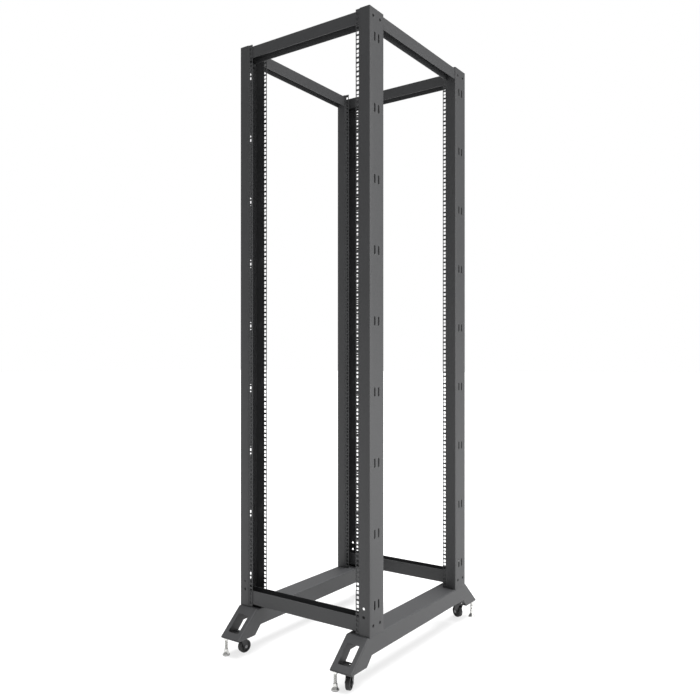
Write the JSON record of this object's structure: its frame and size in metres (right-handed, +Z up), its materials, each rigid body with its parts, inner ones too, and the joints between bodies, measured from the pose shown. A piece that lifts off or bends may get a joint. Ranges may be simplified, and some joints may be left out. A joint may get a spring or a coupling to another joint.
{
  "type": "four post open frame rack",
  "caption": "Tall open frame equipment rack with square-holed posts, channel cross beams, and bench-leg base rails on swivel casters and levelling feet.",
  "frame": {"origin": "on the floor, under the middle of the rack", "axes": "+Z up, -Y towards the front, +X to the right of someone who looks at the front"},
  "size_m": [0.562, 0.8814, 2.17],
  "materials": {
    "frame_coat": "charcoal powder coat, fine texture",
    "caster_black": "black paint, satin",
    "wheel_black": "moulded black, matt",
    "zinc": "bright zinc plate"
  },
  "bodies": {
    "rack": {"post_front_right": "frame_coat", "post_front_left": "frame_coat", "post_rear_right": "frame_coat", "post_rear_left": "frame_coat", "top_beam_front": "frame_coat", "top_beam_rear": "frame_coat", "top_beam_right": "frame_coat", "top_beam_left": "frame_coat", "bottom_beam_front": "frame_coat", "bottom_beam_rear": "frame_coat", "base_rail_right": "frame_coat", "base_rail_left": "frame_coat", "caster_plate_front_right": "caster_black", "caster_plate_front_left": "caster_black", "caster_plate_rear_right": "caster_black", "caster_plate_rear_left": "caster_black", "levelling_nut_front_right": "zinc", "levelling_nut_front_left": "zinc", "levelling_nut_rear_right": "zinc", "levelling_nut_rear_left": "zinc"},
    "caster_front_right": {"caster_fork_front_right": "caster_black", "caster_axle_front_right": "zinc"},
    "wheel_front_right": {"caster_wheel_front_right": "wheel_black"},
    "leveller_front_right": {"levelling_foot_front_right": "zinc"},
    "caster_front_left": {"caster_fork_front_left": "caster_black", "caster_axle_front_left": "zinc"},
    "wheel_front_left": {"caster_wheel_front_left": "wheel_black"},
    "leveller_front_left": {"levelling_foot_front_left": "zinc"},
    "caster_rear_right": {"caster_fork_rear_right": "caster_black", "caster_axle_rear_right": "zinc"},
    "wheel_rear_right": {"caster_wheel_rear_right": "wheel_black"},
    "leveller_rear_right": {"levelling_foot_rear_right": "zinc"},
    "caster_rear_left": {"caster_fork_rear_left": "caster_black", "caster_axle_rear_left": "zinc"},
    "wheel_rear_left": {"caster_wheel_rear_left": "wheel_black"},
    "leveller_rear_left": {"levelling_foot_rear_left": "zinc"}
  },
  "joints": [
    {"name": "caster_swivel_front_right", "type": "hinge", "parent": "rack", "child": "caster_front_right", "pos_m": [0.2385, -0.385, 0.055], "axis": [0, 0, 1], "continuous": true},
    {"name": "wheel_spin_front_right", "type": "hinge", "parent": "caster_front_right", "child": "wheel_front_right", "pos_m": [0.24313, -0.39927, 0.023], "axis": [0.9511, 0.309, 0], "continuous": true},
    {"name": "levelling_screw_front_right", "type": "slide", "parent": "rack", "child": "leveller_front_right", "axis": [0, 0, 1], "range_m": [-0.005, 0.005]},
    {"name": "caster_swivel_front_left", "type": "hinge", "parent": "rack", "child": "caster_front_left", "pos_m": [-0.2375, -0.385, 0.055], "axis": [0, 0, 1], "continuous": true},
    {"name": "wheel_spin_front_left", "type": "hinge", "parent": "caster_front_left", "child": "wheel_front_left", "pos_m": [-0.23362, -0.37051, 0.023], "axis": [-0.9659, 0.2588, 0], "continuous": true},
    {"name": "levelling_screw_front_left", "type": "slide", "parent": "rack", "child": "leveller_front_left", "axis": [0, 0, 1], "range_m": [-0.005, 0.005]},
    {"name": "caster_swivel_rear_right", "type": "hinge", "parent": "rack", "child": "caster_rear_right", "pos_m": [0.2375, 0.385, 0.055], "axis": [0, 0, 1], "continuous": true},
    {"name": "wheel_spin_rear_right", "type": "hinge", "parent": "caster_rear_right", "child": "wheel_rear_right", "pos_m": [0.2234, 0.39013, 0.023], "axis": [-0.342, -0.9397, 0], "continuous": true},
    {"name": "levelling_screw_rear_right", "type": "slide", "parent": "rack", "child": "leveller_rear_right", "axis": [0, 0, 1], "range_m": [-0.005, 0.005]},
    {"name": "caster_swivel_rear_left", "type": "hinge", "parent": "rack", "child": "caster_rear_left", "pos_m": [-0.2385, 0.385, 0.055], "axis": [0, 0, 1], "continuous": true},
    {"name": "wheel_spin_rear_left", "type": "hinge", "parent": "caster_rear_left", "child": "wheel_rear_left", "pos_m": [-0.24111, 0.39977, 0.023], "axis": [-0.9848, -0.1736, 0], "continuous": true},
    {"name": "levelling_screw_rear_left", "type": "slide", "parent": "rack", "child": "leveller_rear_left", "axis": [0, 0, 1], "range_m": [-0.005, 0.005]}
  ]
}
